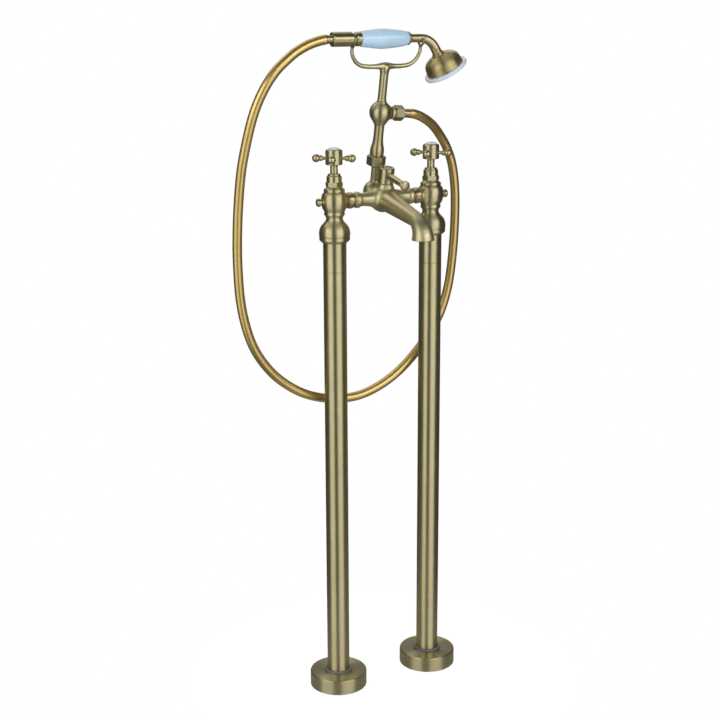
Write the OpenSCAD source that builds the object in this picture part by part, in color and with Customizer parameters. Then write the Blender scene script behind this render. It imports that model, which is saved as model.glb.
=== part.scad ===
// Floor-standing bath shower mixer with two legs, a bath spout and a hand shower on a cradle.
// Millimetres. Origin on the floor midway between the legs, +X from hot to cold, -Y to the front.

/* [Stand] */
// Distance between the two leg axes
leg_spacing = 164.8; // [150:0.2:200]
// Height of the bridge axis above the floor
bridge_height = 779; // [700:1:860]
// Outside diameter of each leg
leg_d = 35; // [32:0.5:38]
// Wall of each leg tube
leg_wall = 1.5; // [1:0.1:2.5]
// Length of the leg socket that shows below the crown
socket_length = 43; // [30:1:80]
// Outside diameter of the supply pipes inside the legs
pipe_d = 15; // [12:0.5:16]

/* [Floor fixing] */
// Diameter of the fixing plate under each leg
plate_d = 80; // [76:1:84]
// Thickness of the fixing plate
plate_thickness = 6; // [4:0.5:8]
// Pitch circle of the fixing screws
fixing_pcd = 62; // [58:1:64]
// Diameter of the fixing screw holes
fixing_hole_d = 5.5; // [4:0.5:6.5]
// Bore of the supply inlet, tapping size of a half inch pipe thread
inlet_bore_d = 18.6; // [16:0.2:20]
// Outside diameter of the floor cover
cover_d = 90; // [88:1:110]
// Height of the floor cover
cover_height = 24; // [18:1:36]
// Wall of the floor cover
cover_wall = 1.5; // [1:0.1:2]
// Outside diameter of the rubber ring on the floor cover
ring_d = 42; // [40:0.5:46]

/* [Valves] */
// Diameter of the ball below each valve
ball_d = 46.8; // [44:0.2:52]
// Diameter of the neck between the ball and the valve
neck_d = 25; // [22:0.5:28]
// Largest diameter of the valve barrel
barrel_d = 39.6; // [36:0.2:44]
// Diameter of the valve chamber
chamber_d = 21; // [20:0.5:23]
// Size across the flats of the bonnet hexagon
bonnet_hex = 22.6; // [21:0.2:24]
// Diameter of the spindle
spindle_d = 11.5; // [10:0.5:12]
// Height of bare spindle between the bonnet and the handle
stem_gap = 13; // [8:1:18]

/* [Handles] */
// Diameter of the handle hub
hub_d = 25.4; // [24:0.2:30]
// Height of the handle hub
hub_height = 22.5; // [20:0.5:28]
// Reach of each handle arm from the handle axis
arm_reach = 32.4; // [30:0.2:38]
// Diameter of the ball at the end of each arm
arm_ball_d = 12.2; // [10:0.2:13]
// Diameter of the ceramic index cap
cap_d = 17; // [14:0.5:18]
// Turn of the hot handle at rest
hot_turn = 34; // [0:1:90]
// Turn of the cold handle at rest
cold_turn = 44; // [0:1:90]

/* [Mixer body] */
// Forward lean of the body about the bridge axis
body_tilt = 11.2; // [0:0.2:15]
// Diameter of the bridge arms
bridge_d = 19.6; // [18:0.2:22]
// Diameter of the beads on the bridge
bead_d = 24.8; // [23:0.2:28]
// Diameter of the round hub in the middle of the bridge
body_hub_d = 43.4; // [38:0.2:46]
// Bore of the bridge arms
bridge_bore_d = 13; // [10:0.5:14]
// Height of the diverter tower above the bridge axis
tower_height = 48; // [44:0.5:56]
// Distance of the diverter tower in front of the bridge axis
tower_forward = 2.5; // [0:0.5:5]
// Diameter of the diverter tower
tower_d = 23.4; // [22:0.2:28]
// Distance from the bridge axis to the start of the spout bend
spout_reach = 98; // [80:1:130]
// Radius of the spout bend
spout_bend = 28; // [26:1:40]
// Drop of the spout below the bridge axis
spout_drop = 0.7; // [0:0.1:3]
// Diameter of the spout next to the body
spout_root_d = 32.4; // [28:0.2:34]
// Diameter of the spout at its bend
spout_waist_d = 23.4; // [21:0.5:26]
// Diameter of the spout outlet
outlet_d = 33.4; // [31:0.2:38]
// Diameter of the aerator
aerator_d = 24; // [20:0.5:26]

/* [Diverter] */
// Height of the diverter head that turns
head_height = 23.5; // [20:0.5:26]
// Distance from the tower axis to the face of the lever knob
lever_reach = 60.5; // [50:0.5:66]
// Diameter of the lever rod at the head
lever_d = 11.4; // [8:0.2:13]
// Diameter of the lever knob
knob_d = 14.8; // [13:0.2:17]
// Diameter of the diverter spindle
diverter_spindle_d = 16; // [14:0.5:17]

/* [Riser] */
// Distance of the riser behind the bridge axis
riser_back = 32.6; // [30:0.2:45]
// Height of the riser ball above the bridge axis, along the riser
riser_ball_height = 122; // [110:1:150]
// Diameter of the riser ball
riser_ball_d = 34; // [30:0.5:40]
// Size across the flats of the riser nut
riser_nut_hex = 25.2; // [24:0.2:28]
// Height of the riser nut
riser_nut_height = 14.5; // [12:0.5:18]
// Downward lean of the hose outlet
outlet_lean = 4; // [0:1:15]
// Size across the flats of the hose nut on the outlet
outlet_nut_hex = 20.4; // [19.6:0.2:24]

/* [Cradle] */
// Height of the cradle arms above the bridge axis, along the riser
cradle_height = 190.5; // [180:0.5:210]
// Height from the cradle arms to the handset axis
cradle_rise = 40.5; // [34:0.5:50]
// Distance of each fork from the riser
fork_offset = 56.6; // [52:0.2:57.4]
// Diameter of the cradle stem
stem_d = 12.8; // [11:0.2:15]
// Diameter of the fork tines
tine_d = 3.8; // [2.6:0.1:4.4]

/* [Handset] */
// Diameter of the handset tube
tube_d = 12.4; // [11:0.2:13]
// Largest diameter of the ceramic grip
grip_d = 29.2; // [26:0.2:34]
// Length of the ceramic grip
grip_length = 79; // [74:1:80]
// Diameter of the smooth hose nut on the handset
sleeve_d = 21; // [19:0.5:24]
// Angle of the rose axis from the vertical
rose_angle = 31; // [20:1:45]
// Radius of the bend in the handset neck
neck_bend = 30; // [24:1:36]
// Diameter of the handset neck at the rose
neck_end_d = 14.4; // [12.6:0.2:15]
// Diameter of the rose rim
rim_d = 68.4; // [64:0.2:80]
// Diameter of the rose bell at the rim
bell_d = 57.4; // [54:0.2:62]

/* [Hose] */
// Diameter of the hose
hose_d = 14.2; // [12:0.2:15]

/* [Hidden] */

left = -1;
right = 1;
brass = [0.60, 0.54, 0.32];
dark_brass = [0.48, 0.43, 0.26];
hose_gold = [0.68, 0.52, 0.26];
ceramic = [0.80, 0.86, 0.94];
disc_grey = [0.70, 0.70, 0.72];
rubber = [0.22, 0.25, 0.27];

fit = 0.05;       // running or sliding clearance on a radius
play = 0.3;       // free clearance between pieces that part
eps = 0.5;        // overlap that lets a cut break through

// Stand
leg_r = leg_d / 2;
leg_inner_r = leg_r - leg_wall;
leg_x = leg_spacing / 2;
pipe_r = pipe_d / 2;
pipe_wall = 1;
boss_height = 20;
boss_top = plate_thickness + boss_height;
inlet_depth = 16;
pipe_seat = boss_top - 6;
spigot_length = 15;
crown_drop = 61;                             // crown foot below the bridge axis
crown_cover = 10;                            // how far the crown laps the leg socket
barrel_drop = 15;                            // barrel foot below the bridge axis
crown_z = bridge_height - crown_drop;
barrel_z = bridge_height - barrel_drop;
socket_z = crown_z - socket_length;
ring_height = 3;
ring_lap = 2;                                // ring lip below the cover top
cover_gap = 0.4;                             // cover foot above the floor
cover_bore_r = ring_d / 2 - 1.2;

// Valve stack
ball_r = ball_d / 2;
neck_r = neck_d / 2;
barrel_r = barrel_d / 2;
barrel_foot_r = 15.1;
barrel_top_r = 16.2;
barrel_height = 28.5;
bonnet_z = barrel_z + barrel_height;
bonnet_height = 27.5;
bonnet_top = bonnet_z + bonnet_height;
spindle_r = spindle_d / 2;
chamber_r = chamber_d / 2;
chamber_floor = barrel_z + 5.5;
pipe_top = barrel_z + 4;
disc_thickness = 2.5;
disc_gap = 0.05;
carrier_z = chamber_floor + 2 * disc_thickness + disc_gap;
carrier_height = 3;
skirt_z = bonnet_z - 6.5;
hub_z = bonnet_top + stem_gap;
hub_r = hub_d / 2;
hub_bore_depth = 14;
hub_web = 3;
cap_seat = hub_z + hub_bore_depth + hub_web;
arm_z = hub_z + 9.5;
arm_root_r = 2.3;
arm_socket = 4;
screw_r = 2;
screw_length = 10;

// Bridge and mixer body, in a frame on the bridge axis that leans forward
bead_r = bead_d / 2;
bead_half = 5.2;
bead_pitch = 11.8;
bead_groove_r = 9.2;
arm_bead_x = 45.2;
collar_x = arm_bead_x + bead_pitch;
joint_x = arm_bead_x + bead_pitch / 2;       // where the body meets the valve spigot
bridge_r = bridge_d / 2;
bridge_bore_r = bridge_bore_d / 2;
body_hub_r = body_hub_d / 2;
tower_r = tower_d / 2;
seam_height = tower_height - head_height;
elbow_r = 15.5;
elbow_rise = 0.9;
branch_r = 9.5;
neck_pipe_r = 6.1;
outlet_turn = 90 - body_tilt;                // the spout outlet points straight down
aerator_r = aerator_d / 2;
aerator_depth = 10;
aerator_inset = 1.5;
diverter_spindle_r = diverter_spindle_d / 2;
diverter_foot = 5;
diverter_grip = 9;                           // how far the spindle reaches into the head
lever_height = seam_height + 12.6;
lever_stub_r = 2.6;
lever_stub = 2.6;
knob_length = 6.6;

// Riser and cradle, in the same leaning frame
riser_nut_z = 41.5;
riser_nut_top = riser_nut_z + riser_nut_height;
riser_thread_r = 10.4;
riser_thread_top = riser_nut_z + 8.5;
washer_thickness = 2;
riser_flange_z = riser_thread_top + washer_thickness;
riser_flange = 2;
riser_lip_r = 8.9;
riser_bore_r = 4;
riser_ball_r = riser_ball_d / 2;
stem_r = stem_d / 2;
stem_spigot = 10;
stem_spigot_r = 4.2;
stem_foot = riser_ball_height + sqrt(pow(riser_ball_r, 2) - pow(stem_r + 1.4, 2));
outlet_collar_r = 9.7;
outlet_collar_x = 22;
outlet_thread_r = 8.6;
outlet_thread_x = outlet_collar_x + 8;
outlet_nut_x = outlet_collar_x + 0.4;
outlet_nut_length = 14.5;
outlet_nut_end = outlet_nut_x + outlet_nut_length;
outlet_lip_r = 5.6;
ferrule_r = 6.6;
outlet_ferrule_end = 50;
handset_height = cradle_height + cradle_rise;
tine_r = tine_d / 2;
tube_r = tube_d / 2;
fork_clear = 0.35;
fork_r = tube_r + fork_clear + tine_r;       // radius of the fork's centre line
fork_drop = 1.42 * fork_r;                    // fork root below the handset axis

// Handset, along +X from a frame on its own axis
fork_groove = tine_r + fork_clear;
sleeve_end = -fork_offset - fork_groove;
sleeve_length = 32;
sleeve_start = sleeve_end - sleeve_length;
handset_ferrule_start = sleeve_start - 9.5;
tail_ring_start = -fork_offset + fork_groove;
tail_ring_length = 8.8;
grip_start = tail_ring_start + tail_ring_length;
grip_end = grip_start + grip_length;
front_ring_length = 5;
tube_start = sleeve_end - 12;
tube_bore_r = tube_r - 1.8;
neck_start = fork_offset - 2.2;
neck_straight = 10.7;
neck_turn = 90 - rose_angle;
grip_r = grip_d / 2;
sleeve_r = sleeve_d / 2;
rim_r = rim_d / 2;
bell_r = bell_d / 2;
bell_height = 23.6;
bell_wall = 1.5;
rim_height = 5.6;
faceplate_thickness = 1.8;
nozzle_rows = [1, 6, 12, 18];
nozzle_step = 7;
nozzle_r = 0.8;

// Hose route from the handset to the outlet, points chosen along its free hang
hose_sides = 10;
hose_steps = 2;
hose_gap = play;
handset_y = riser_back * cos(body_tilt) - handset_height * sin(body_tilt);
handset_z = bridge_height + riser_back * sin(body_tilt) + handset_height * cos(body_tilt);
hose_start = [handset_ferrule_start - hose_gap, handset_y, handset_z];
outlet_nut_turn = 18;
outlet_y = riser_back * cos(body_tilt) - riser_ball_height * sin(body_tilt);
outlet_z = bridge_height + riser_back * sin(body_tilt) + riser_ball_height * cos(body_tilt);
outlet_way = [
  cos(outlet_lean), sin(outlet_lean) * sin(body_tilt), -sin(outlet_lean) * cos(body_tilt)
];
hose_end = [0, outlet_y, outlet_z] + (outlet_ferrule_end + fit) * outlet_way;
hose_way = [
  [-111.5, -12.5, 1009.8], [-128.2, -12.5, 1004.6], [-146, -12, 995.7], [-161.1, -11.5, 984.6],
  [-176.6, -10, 970.5], [-190.6, -8, 951.9], [-202.5, -4, 928.2], [-211.4, 0, 902.1],
  [-218, 6, 870], [-224, 12, 832], [-227, 18, 788], [-228.5, 22, 745],
  [-228, 26, 698], [-223.5, 30, 640], [-213.5, 33, 594], [-199, 35.5, 558],
  [-177, 37, 526], [-151.5, 38, 501.5], [-121.5, 38, 482], [-90, 38, 470],
  [-57, 38, 464], [-23.5, 38, 464.5], [10, 38, 474], [42, 38, 490.5],
  [72, 38, 514.5], [101, 38, 546], [124.5, 38, 582], [139, 38, 624.5],
  [146.5, 38, 674.5], [150, 38, 730], [149.5, 38, 778], [143.5, 37, 816],
  [132, 34, 843], [115, 28, 865], [94.5, 20, 881.5], [71, 12.5, 893]
];

// Smooth curve through a list of points, with a set number of steps between them
function blend(a, b, c, d, t) =
  0.5 * (2 * b + (c - a) * t + (2 * a - 5 * b + 4 * c - d) * t * t
    + (3 * b - a - 3 * c + d) * t * t * t);
function pick(p, i) = p[max(0, min(len(p) - 1, i))];
function curve(p, steps) = concat(
  [for (i = [0 : len(p) - 2], k = [0 : steps - 1])
    blend(pick(p, i - 1), p[i], p[i + 1], pick(p, i + 2), k / steps)],
  [p[len(p) - 1]]
);

// Directions and rings along a path
function unit(v) = v / norm(v);
function heading(path, i) = unit(pick(path, i + 1) - pick(path, i - 1));
function ring(c, u, v, r, sides) =
  [for (k = [0 : sides - 1]) c + r * (cos(360 * k / sides) * u + sin(360 * k / sides) * v)];

// Closed tube through rings of points that all have the same count
module skin(rings) {
  n = len(rings[0]);
  last = len(rings) - 1;
  walls = [
    for (i = [0 : last - 1], k = [0 : n - 1])
      let (a = i * n + k, b = i * n + (k + 1) % n, c = a + n, d = b + n)
        each [[a, c, b], [b, c, d]]
  ];
  foot = [for (k = [1 : n - 2]) [0, k, k + 1]];
  head = [for (k = [1 : n - 2]) [last * n, last * n + k + 1, last * n + k]];
  polyhedron(points = [for (r = rings) each r], faces = concat(walls, foot, head), convexity = 6);
}

// Solid of revolution about Z from [radius, height] points
module turned(profile) {
  last = len(profile) - 1;
  rotate_extrude($fn = 96)
    polygon(concat([[0, profile[0][1]]], profile, [[0, profile[last][1]]]));
}

// Round rod or bore on Z between two heights
module rod(r, from, to) {
  translate([0, 0, from]) cylinder(r = r, h = to - from, $fn = 96);
}

// Hexagon on Z between two heights, with its corners rounded off by a cone at each end
module hexagon(flats, from, to, chamfer) {
  corner = flats / sqrt(3);
  intersection() {
    translate([0, 0, from]) rotate([0, 0, 30]) cylinder(r = corner, h = to - from, $fn = 6);
    turned([
      [corner - chamfer, from], [corner, from + chamfer / 2],
      [corner, to - chamfer / 2], [corner - chamfer, to]
    ]);
  }
}

// Places
module at_leg(side) { translate([side * leg_x, 0, 0]) children(); }
module at_body() { translate([0, 0, bridge_height]) rotate([body_tilt, 0, 0]) children(); }
module at_tower() { at_body() translate([0, -tower_forward, 0]) children(); }
module at_riser() { at_body() translate([0, riser_back, 0]) children(); }
module at_outlet() {
  at_riser() translate([0, 0, riser_ball_height]) rotate([0, 90 + outlet_lean, 0]) children();
}
module at_handset() { translate([0, handset_y, handset_z]) rotate([0, 90, 0]) children(); }
module at_rose() {
  drop = neck_bend * (1 - cos(neck_turn)) + neck_straight * cos(rose_angle);
  run = neck_start + neck_bend * sin(neck_turn) + neck_straight * sin(rose_angle);
  translate([run, handset_y, handset_z - drop]) rotate([0, 180 - rose_angle, 0]) children();
}
module along_bridge(side) {
  translate([0, 0, bridge_height]) rotate([0, side * 90, 0]) children();
}

// Stand
module floor_plate(side) {
  color(dark_brass) at_leg(side) difference() {
    union() {
      turned([[plate_d / 2, 0], [plate_d / 2, plate_thickness - 1], [plate_d / 2 - 1, plate_thickness]]);
      turned([
        [leg_inner_r - fit, 0], [leg_inner_r - fit, boss_top - 1], [leg_inner_r - fit - 1, boss_top]
      ]);
    }
    rod(inlet_bore_d / 2, -eps, inlet_depth);
    rod(pipe_r - pipe_wall, 0, boss_top);
    rod(pipe_r + fit, pipe_seat, boss_top + eps);
    for (turn = [0 : 90 : 270])
      rotate([0, 0, turn]) translate([0, fixing_pcd / 2, 0])
        rod(fixing_hole_d / 2, -eps, plate_thickness + eps);
  }
}

module floor_cover(side) {
  r = cover_d / 2;
  edge = 2;
  shoulder = [for (a = [0 : 15 : 90]) [r - edge + edge * cos(a), cover_height - edge + edge * sin(a)]];
  color(brass) at_leg(side) difference() {
    turned(concat([[r, cover_gap]], shoulder));
    rod(r - cover_wall, cover_gap - eps, cover_height - cover_wall);
    rod(cover_bore_r, 0, cover_height + eps);
  }
}

module cover_ring(side) {
  top = cover_height + ring_height;
  outer = ring_d / 2;
  color(rubber) at_leg(side) difference() {
    union() {
      turned(concat([[outer, cover_height]],
        [for (a = [0 : 30 : 90]) [outer - 1.2 + 1.2 * cos(a), top - 1.2 + 1.2 * sin(a)]]));
      rod(cover_bore_r, cover_height - cover_wall - ring_lap, cover_height);
    }
    rod(leg_r + play, 0, top + eps);
  }
}

module leg_tube(side) {
  seam = 0.5;
  color(brass) at_leg(side) difference() {
    turned([[leg_r, plate_thickness], [leg_r, socket_z - seam], [leg_r - seam, socket_z]]);
    rod(leg_inner_r, plate_thickness - eps, socket_z + eps);
  }
}

module leg_socket(side) {
  seam = 0.5;
  spigot_r = leg_inner_r - fit;
  color(brass) at_leg(side) difference() {
    turned([
      [spigot_r - 1, socket_z - spigot_length], [spigot_r, socket_z - spigot_length + 1],
      [spigot_r, socket_z], [leg_r - seam, socket_z], [leg_r, socket_z + seam],
      [leg_r, crown_z + crown_cover]
    ]);
    rod(spigot_r - leg_wall, socket_z - spigot_length - eps, crown_z + crown_cover + eps);
  }
}

module leg_crown(side) {
  foot_r = leg_r + 0.8;
  band_r = ball_r - 0.4;
  foot = [[foot_r, 0], [band_r - 0.6, 3.6], [band_r, 4.6], [band_r, 8.6], [band_r - 0.7, 9.2]];
  dome = curve([
    [ball_r - 0.3, 9.8], [ball_r, 13.7], [ball_r - 0.8, 19.7], [ball_r - 3.6, 25.7],
    [neck_r + 1.9, 31.6], [neck_r, 35.7], [neck_r + 0.9, 39], [neck_r + 3.1, 42.3],
    [neck_r + 2.2, crown_drop - barrel_drop]
  ], 4);
  color(brass) at_leg(side) difference() {
    translate([0, 0, crown_z]) turned(concat(foot, dome));
    rod(leg_r + fit, crown_z - eps, crown_z + crown_cover);
    rod(pipe_r + fit, crown_z, barrel_z + eps);
  }
}

module supply_pipe(side) {
  color(dark_brass) at_leg(side) difference() {
    rod(pipe_r, pipe_seat, pipe_top);
    rod(pipe_r - pipe_wall, pipe_seat - eps, pipe_top + eps);
  }
}

// Valves
module valve_body(side) {
  shell = curve([
    [barrel_foot_r, 0], [barrel_foot_r + 1.7, 3.4], [barrel_r - 1.4, 6.6],
    [barrel_r, 15], [barrel_r - 1, 24], [barrel_top_r, barrel_height]
  ], 5);
  boss_r = bead_r - 1.8;
  boss_end = leg_x - collar_x - bead_half - 0.4;
  color(brass) difference() {
    union() {
      at_leg(side) translate([0, 0, barrel_z]) turned(shell);
      at_leg(side) along_bridge(-side) {
        turned(curve([
          [boss_r, chamber_r], [boss_r, boss_end - 4], [boss_r - 0.8, boss_end - 1], [bead_groove_r, boss_end]
        ], 3));
        rod(bead_groove_r, boss_end - 1, leg_x - joint_x);
      }
    }
    at_leg(side) {
      rod(pipe_r + fit, barrel_z - eps, pipe_top);
      rod(pipe_r - pipe_wall, barrel_z, chamber_floor + eps);
      rod(chamber_r, chamber_floor, bonnet_z + eps);
      along_bridge(-side) rod(bridge_bore_r, 0, leg_x - joint_x + eps);
      along_bridge(side) {
        rod(3, chamber_r - eps, barrel_r + eps);
        rod(4.6 + fit, barrel_r - 0.5, barrel_r + eps);
      }
    }
  }
}

module side_finial(side) {
  button_r = 6.2;
  tip = barrel_r + 9.8;
  color(brass) at_leg(side) along_bridge(side) turned(concat(
    [[3 - fit, chamber_r + 1], [3 - fit, barrel_r - 0.5], [4.6, barrel_r - 0.5], [4.6, barrel_r + 0.6]],
    curve([
      [3.6, barrel_r + 1.2], [4.4, barrel_r + 2.2], [button_r, barrel_r + 5], [button_r - 0.5, tip - 2],
      [3.2, tip - 0.3], [0.4, tip]
    ], 4)
  ));
}

module union_collar(side) {
  color(brass) along_bridge(side) difference() {
    bead(collar_x);
    rod(bead_groove_r + fit, collar_x - bead_half - eps, collar_x + bead_half + eps);
  }
}

// Rounded bead round the bridge, centred at one place on it
module bead(x) {
  turned([
    for (a = [-80 : 20 : 80])
      [bead_groove_r + (bead_r - bead_groove_r) * cos(a), x + bead_half * sin(a)]
  ]);
}

module bonnet(side) {
  ring_r = 15.9;
  top_r = 11.35;
  color(brass) at_leg(side) translate([0, 0, bonnet_z]) difference() {
    union() {
      rod(chamber_r - fit, skirt_z - bonnet_z, eps);
      turned(concat(
        [[ring_r - 0.9, 0]],
        curve([[ring_r - 0.7, 0.3], [ring_r, 2.6], [ring_r - 0.6, 5], [ring_r - 2.2, 6.2]], 3),
        [[bonnet_hex / 2 + 0.6, 7.6], [bonnet_hex / 2, 8.5]]
      ));
      rotate([0, 0, side * 9]) hexagon(bonnet_hex, 8.4, 15.2, 1);
      turned([
        [top_r, 15.1], [top_r, 23.6], [top_r - 0.9, 24.5], [9.4, 24.6],
        [9.6, 25.2], [9.6, 26.8], [8.9, bonnet_height]
      ]);
    }
    rod(spindle_r + fit, skirt_z - bonnet_z - eps, bonnet_height + eps);
  }
}

module fixed_disc(side) {
  color(disc_grey) at_leg(side) difference() {
    rod(chamber_r - fit, chamber_floor, chamber_floor + disc_thickness);
    for (turn = [0, 180])
      rotate([0, 0, turn]) translate([0, 5, 0])
        rod(2.8, chamber_floor - eps, chamber_floor + disc_thickness + eps);
  }
}

module moving_disc(side, turn) {
  from = chamber_floor + disc_thickness + disc_gap;
  color(disc_grey) at_leg(side) rotate([0, 0, turn]) difference() {
    rod(chamber_r - 0.7, from, carrier_z);
    for (half = [-1, 1])
      translate([half * 5.4, 0, 0]) rod(2.8, from - eps, carrier_z + eps);
  }
}

module spindle(side) {
  top = hub_z + hub_bore_depth;
  color(dark_brass) at_leg(side) difference() {
    union() {
      rod(chamber_r - 1.5, carrier_z, carrier_z + carrier_height);
      rod(spindle_r, carrier_z, top);
      rod(spindle_r + 2.6, skirt_z - 3, skirt_z - play);
    }
    rod(screw_r, top - screw_length, top + eps);
  }
}

// Handles
module at_handle(side, turn) { at_leg(side) rotate([0, 0, -turn]) children(); }

module handle_hub(side, turn) {
  color(brass) at_handle(side, turn) difference() {
    translate([0, 0, hub_z]) turned([
      [hub_r - 1.1, 0], [hub_r - 0.2, 0.8], [hub_r, 2.4], [hub_r, hub_height - 3.4],
      [hub_r - 0.4, hub_height - 1.5], [hub_r - 1.6, hub_height - 0.2], [hub_r - 2.2, hub_height]
    ]);
    rod(spindle_r, hub_z - eps, hub_z + hub_bore_depth);
    rod(screw_r + fit, hub_z, cap_seat + eps);
    rod(cap_d / 2 + fit, cap_seat, hub_z + hub_height + eps);
    translate([0, 0, arm_z]) for (arm = [0 : 90 : 270])
      rotate([90, 0, arm]) rod(arm_root_r, hub_r - arm_socket, hub_r + eps);
  }
}

module handle_arms(side, turn) {
  ball = arm_ball_d / 2;
  ball_at = arm_reach - ball;
  end = [for (a = [-48 : 16 : 80]) [ball * cos(a), ball_at + ball * sin(a)]];
  stalk = curve([
    [arm_root_r, hub_r], [arm_root_r + 0.1, hub_r + 1.8], [arm_root_r + 0.9, hub_r + 4.2],
    [4.6, ball_at - 7], [4.5, ball_at - 6.3], [3.5, ball_at - 5.1]
  ], 3);
  color(brass) at_handle(side, turn) translate([0, 0, arm_z]) for (arm = [0 : 90 : 270])
    rotate([90, 0, arm])
      turned(concat([[arm_root_r, hub_r - arm_socket]], stalk, end, [[0.2, arm_reach]]));
}

module handle_screw(side, turn) {
  head_r = 3.6;
  color(disc_grey) at_handle(side, turn) difference() {
    union() {
      rod(screw_r, cap_seat - hub_web - screw_length + 1, cap_seat);
      rod(head_r, cap_seat, cap_seat + 2.2);
    }
    translate([-head_r - eps, -0.4, cap_seat + 1]) cube([2 * head_r + 2 * eps, 0.8, 2]);
  }
}

module index_cap(side, turn) {
  r = cap_d / 2;
  seat = cap_seat + 2.4;
  crown = hub_z + hub_height + 3.5;
  rim = hub_z + hub_height + 0.4;
  color(ceramic) at_handle(side, turn) turned(concat(
    [[r, seat], [r, rim - 0.6]],
    [for (a = [10 : 16 : 90]) [r * cos(a), rim + (crown - rim) * sin(a)]]
  ));
}

// Mixer body: bridge arms, hub, tower foot, spout, rear elbow and riser neck in one casting
function spout_place(s) = s <= 0
  ? [0, -s - spout_reach, -spout_drop]
  : [0, -spout_reach - spout_bend * sin(s), -spout_drop - spout_bend * (1 - cos(s))];
function spout_heading(s) = s <= 0 ? [0, -1, 0] : [0, -cos(s), -sin(s)];
function spout_radius(s) = s <= 0
  ? spout_waist_d / 2 + (spout_root_d - spout_waist_d) / 2 * pow(-s / (spout_reach - 15), 1.1)
  : spout_waist_d / 2 + (outlet_d - spout_waist_d) / 2 * pow(s / outlet_turn, 1.35);

module spout() {
  sides = 32;
  straight = [for (k = [0 : 8]) -(spout_reach - 6) * (1 - k / 8)];
  bend = [for (k = [1 : 10]) outlet_turn * k / 10];
  skin([
    for (s = concat(straight, bend))
      let (h = spout_heading(s), across = [0, -h[2], h[1]])
        ring(spout_place(s), across, [1, 0, 0], spout_radius(s), sides)
  ]);
}

module at_spout_outlet() {
  translate(spout_place(outlet_turn)) rotate([90 + outlet_turn, 0, 0]) children();
}

module bridge_arm() {
  flare = curve([
    [body_hub_r * 0.8, body_hub_r * 0.6], [bridge_r + 3.4, body_hub_r - 3.4],
    [bridge_r + 1.7, body_hub_r + 2],
    [bridge_r + 0.5, body_hub_r + 9], [bridge_r, arm_bead_x - bead_half]
  ], 3);
  turned(flare);
  rod(bridge_r - 0.6, body_hub_r * 0.5, joint_x);
  bead(arm_bead_x);
}

module mixer_body() {
  foot_r = tower_r + 5;
  color(brass) at_body() difference() {
    union() {
      sphere(r = body_hub_r, $fn = 96);
      for (side = [left, right]) rotate([0, side * 90, 0]) bridge_arm();
      translate([0, -tower_forward, 0]) turned(concat(
        curve([
          [foot_r, body_hub_r * 0.62], [tower_r + 2, body_hub_r * 0.8],
          [tower_r + 0.5, body_hub_r * 0.98], [tower_r, seam_height - 2]
        ], 3),
        [[tower_r, seam_height - 0.4], [tower_r - 0.4, seam_height]]
      ));
      rotate([90, 0, 0]) rod(branch_r, -riser_back, 0);
      translate([0, riser_back, 0]) {
        translate([0, 0, elbow_rise]) sphere(r = elbow_r, $fn = 96);
        rod(neck_pipe_r, 0, riser_nut_z + 1);
        turned([
          [neck_pipe_r, riser_nut_z - 3], [riser_thread_r - 1, riser_nut_z],
          [riser_thread_r, riser_nut_z + 1], [riser_thread_r, riser_thread_top]
        ]);
      }
      spout();
    }
    for (side = [left, right]) rotate([0, side * 90, 0]) rod(bridge_bore_r, 0, joint_x + eps);
    translate([0, -tower_forward, 0]) rod(diverter_spindle_r + fit, diverter_foot - eps, seam_height + eps);
    translate([0, riser_back, 0]) rod(riser_bore_r, 0, riser_thread_top + eps);
    rotate([90, 0, 0]) rod(riser_bore_r, -riser_back, 0);
    at_spout_outlet() rod(aerator_r + fit, -aerator_depth, eps);
  }
}

module spout_aerator() {
  hole_r = 1.1;
  color(disc_grey) at_body() at_spout_outlet() difference() {
    rod(aerator_r, -aerator_depth, -aerator_inset);
    rod(aerator_r - 2, -aerator_depth + 2, 0);
    for (row = [1 : 3], k = [0 : row * 6 - 1])
      rotate([0, 0, k * 60 / row]) translate([row * 2.9, 0, 0])
        rod(hole_r, -aerator_depth - eps, -aerator_depth + 2 + eps);
  }
}

// Diverter
module diverter_head() {
  recess_r = 7.4;
  color(brass) at_tower() difference() {
    turned([
      [tower_r - 0.4, seam_height + play], [tower_r, seam_height + play + 0.4],
      [tower_r, tower_height - 1.2], [tower_r - 1.2, tower_height]
    ]);
    rod(recess_r, tower_height - 1.2, tower_height + eps);
    rod(diverter_spindle_r, seam_height, seam_height + diverter_grip);
    translate([0, 0, lever_height]) rotate([90, 0, 0])
      rod(lever_stub_r, tower_r - lever_stub, tower_r + eps);
  }
}

module diverter_spindle() {
  color(dark_brass) at_tower() difference() {
    rod(diverter_spindle_r, diverter_foot, seam_height + diverter_grip);
    translate([-diverter_spindle_r, -3, diverter_foot - eps]) cube([2 * diverter_spindle_r, 6, 6]);
  }
}

module diverter_lever() {
  r = lever_d / 2;
  collar = lever_reach - knob_length;
  color(brass) at_tower() translate([0, 0, lever_height]) rotate([90, 0, 0]) turned([
    [lever_stub_r, tower_r - lever_stub], [lever_stub_r, tower_r], [r + 0.4, tower_r + 0.1],
    [r, tower_r + 2], [r - 0.9, collar - 4], [r - 0.2, collar - 3.4], [r - 0.1, collar - 2.2],
    [r - 0.8, collar - 1], [r - 0.9, collar]
  ]);
}

module diverter_knob() {
  r = knob_d / 2;
  foot = lever_reach - knob_length;
  color(brass) at_tower() translate([0, 0, lever_height]) rotate([90, 0, 0]) turned([
    [r - 1.8, foot], [r - 0.6, foot + 0.7], [r - 0.1, foot + 1.6], [r, foot + 2.6],
    [r - 0.1, lever_reach - 2.4], [r - 0.6, lever_reach - 1.5], [r - 1.6, lever_reach - 0.9],
    [0.6 * r, lever_reach - 0.45], [0.3 * r, lever_reach - 0.12], [0.2, lever_reach]
  ]);
}

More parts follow.
